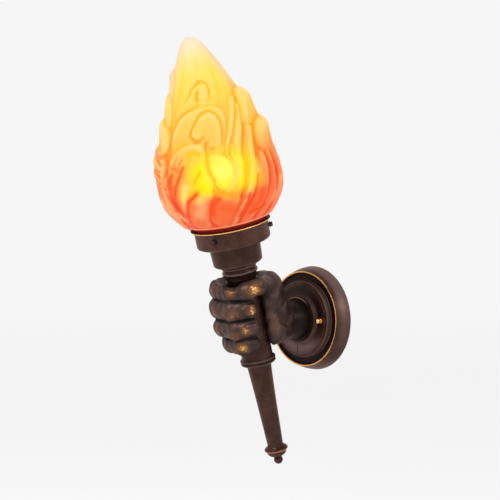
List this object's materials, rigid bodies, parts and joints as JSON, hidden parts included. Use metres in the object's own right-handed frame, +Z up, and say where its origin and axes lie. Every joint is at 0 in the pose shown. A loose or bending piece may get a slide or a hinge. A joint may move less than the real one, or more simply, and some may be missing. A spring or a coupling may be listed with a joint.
{
  "type": "torch wall sconce",
  "caption": "Wall light with a round stepped wall plate, a fist on a short arm, and a leaning torch that holds a flame-shaped glass shade over a screw-in lamp.",
  "frame": {"origin": "centre of the wall plate's back face, in the plane of the wall", "axes": "+Y into the wall, -Y into the room, +Z up, +X to the right as seen from the room"},
  "size_m": [0.1203, 0.1877, 0.4267],
  "materials": {
    "zinc_steel": "zinc plated",
    "bronze_spun": "antique bronze lacquer with gilt edge",
    "bronze_cast": "antique bronze lacquer, rubbed through to gold on the knuckles",
    "bronze_turned": "antique bronze lacquer",
    "brass": "polished",
    "ceramic": "glazed",
    "block_plastic": "moulded",
    "gasket_rubber": "soft",
    "lead_brown": "insulation",
    "lead_blue": "insulation",
    "lead_green": "insulation",
    "flame_glass": "frosted, sprayed red to yellow",
    "lamp_glass": "pearl",
    "cap_metal": "satin",
    "black_insulator": "vitrite"
  },
  "bodies": {
    "sconce": {"wall_bracket": "zinc_steel", "bracket_studs": "zinc_steel", "stud_lock_nuts": "zinc_steel", "wall_plate": "bronze_spun", "cap_nuts": "brass", "earth_screw": "brass", "terminal_block": "block_plastic", "terminal_screws": "zinc_steel", "arm_tube": "zinc_steel", "arm_washer": "zinc_steel", "arm_nut": "zinc_steel", "arm_cuff": "bronze_turned", "hand": "bronze_cast", "torch_handle": "bronze_turned", "finial": "bronze_turned", "torch_neck": "bronze_turned", "socket_cup": "bronze_spun", "torch_tube": "zinc_steel", "tube_nut": "zinc_steel", "shade_gallery": "bronze_spun", "shade_ring": "ceramic", "shade_gasket": "gasket_rubber", "holder_cap": "ceramic", "holder_body": "ceramic", "holder_shell": "brass", "holder_contact": "brass", "holder_terminals": "brass", "live_lead": "lead_brown", "neutral_lead": "lead_blue", "earth_lead": "lead_green"},
    "shade": {"flame_shade": "flame_glass"},
    "lamp": {"bulb_glass": "lamp_glass", "bulb_cap": "cap_metal", "bulb_insulator": "black_insulator", "bulb_contact": "cap_metal", "filament_post": "lamp_glass"},
    "screw_front": {"shade_screw_1": "bronze_turned"},
    "screw_right": {"shade_screw_2": "bronze_turned"},
    "screw_left": {"shade_screw_3": "bronze_turned"}
  },
  "joints": [
    {"name": "shade_lift", "type": "slide", "parent": "sconce", "child": "shade", "axis": [0, -0.2588, 0.9659], "range_m": [0, 0.105]},
    {"name": "lamp_unscrew", "type": "slide", "parent": "sconce", "child": "lamp", "axis": [0, -0.2588, 0.9659], "range_m": [0, 0.026]},
    {"name": "screw_front_out", "type": "slide", "parent": "sconce", "child": "screw_front", "axis": [0.342, -0.9077, -0.2432], "range_m": [0, 0.003]},
    {"name": "screw_right_out", "type": "slide", "parent": "sconce", "child": "screw_right", "axis": [0.6428, 0.7399, 0.1983], "range_m": [0, 0.003]},
    {"name": "screw_left_out", "type": "slide", "parent": "sconce", "child": "screw_left", "axis": [-0.9848, 0.1677, 0.0449], "range_m": [0, 0.003]}
  ]
}
